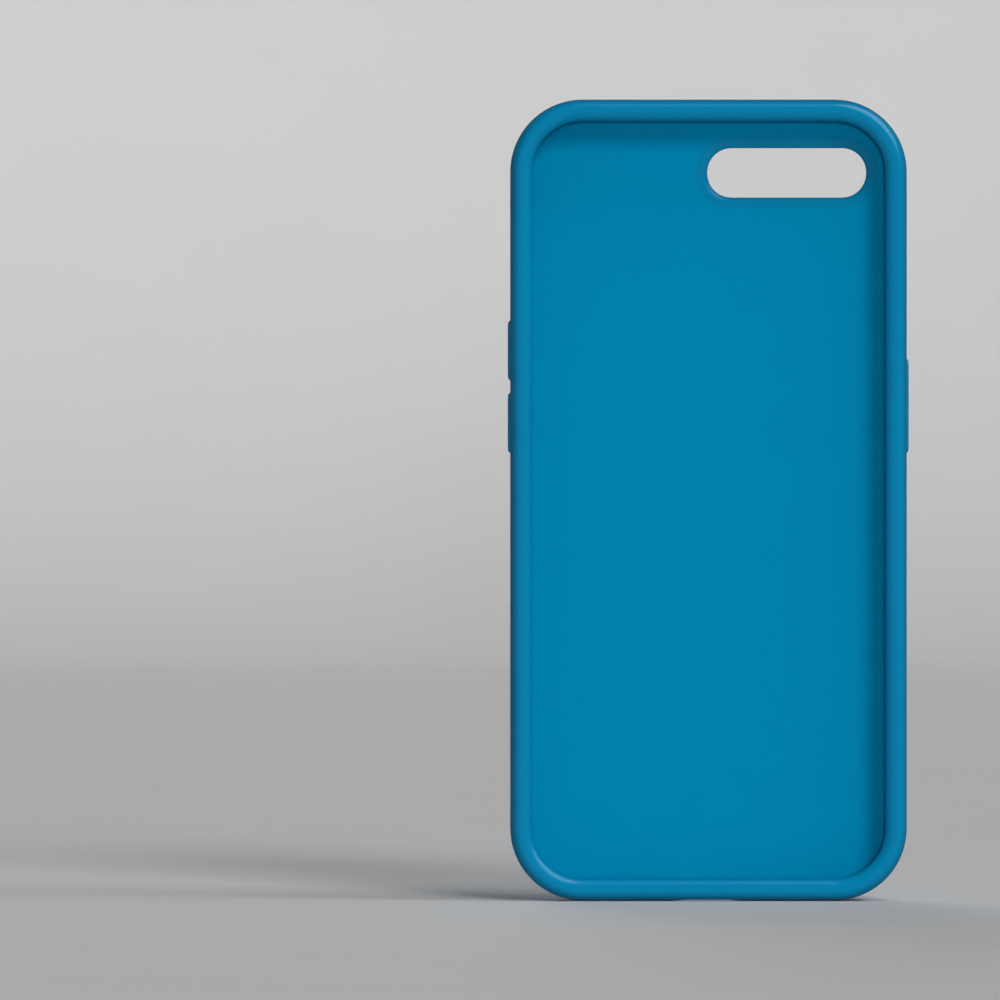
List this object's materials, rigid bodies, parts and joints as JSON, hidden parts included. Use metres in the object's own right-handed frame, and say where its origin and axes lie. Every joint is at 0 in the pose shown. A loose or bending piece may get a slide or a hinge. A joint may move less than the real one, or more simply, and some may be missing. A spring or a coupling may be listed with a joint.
{
  "type": "smartphone case",
  "caption": "Soft silicone phone case over a stiff tray, with a camera hole, a port cut-out and sprung press buttons.",
  "frame": {"origin": "centre of the seat, the lining's face that the phone's back rests on", "axes": "+Z towards the case's top, along its length; the open front faces -Y; +X towards the power button"},
  "size_m": [0.0826, 0.0118, 0.1648],
  "materials": {
    "silicone": "soft matt silicone",
    "polycarbonate": "moulded satin",
    "microfibre": "short brushed nap",
    "gel": "soft translucent gel"
  },
  "bodies": {
    "case": {"outer_skin": "silicone", "inner_tray": "polycarbonate", "back_lining": "microfibre", "left_wall_lining": "microfibre", "right_wall_lining": "microfibre", "top_wall_lining": "microfibre", "bottom_left_wall_lining": "microfibre", "bottom_right_wall_lining": "microfibre", "volume_up_return_pad": "gel", "volume_down_return_pad": "gel", "power_return_pad": "gel"},
    "volume_up_button": {"volume_up_button_cap": "silicone", "volume_up_key_plate": "polycarbonate"},
    "volume_down_button": {"volume_down_button_cap": "silicone", "volume_down_key_plate": "polycarbonate"},
    "power_button": {"power_button_cap": "silicone", "power_key_plate": "polycarbonate"}
  },
  "joints": [
    {"name": "volume_up_press", "type": "slide", "parent": "case", "child": "volume_up_button", "axis": [1, 0, 0], "range_m": [0, 0.0003], "stiffness_N_per_m": 1500, "deforming": ["volume_up_return_pad"]},
    {"name": "volume_down_press", "type": "slide", "parent": "case", "child": "volume_down_button", "axis": [1, 0, 0], "range_m": [0, 0.0003], "stiffness_N_per_m": 1500, "deforming": ["volume_down_return_pad"]},
    {"name": "power_press", "type": "slide", "parent": "case", "child": "power_button", "axis": [-1, 0, 0], "range_m": [0, 0.0003], "stiffness_N_per_m": 1500, "deforming": ["power_return_pad"]}
  ]
}
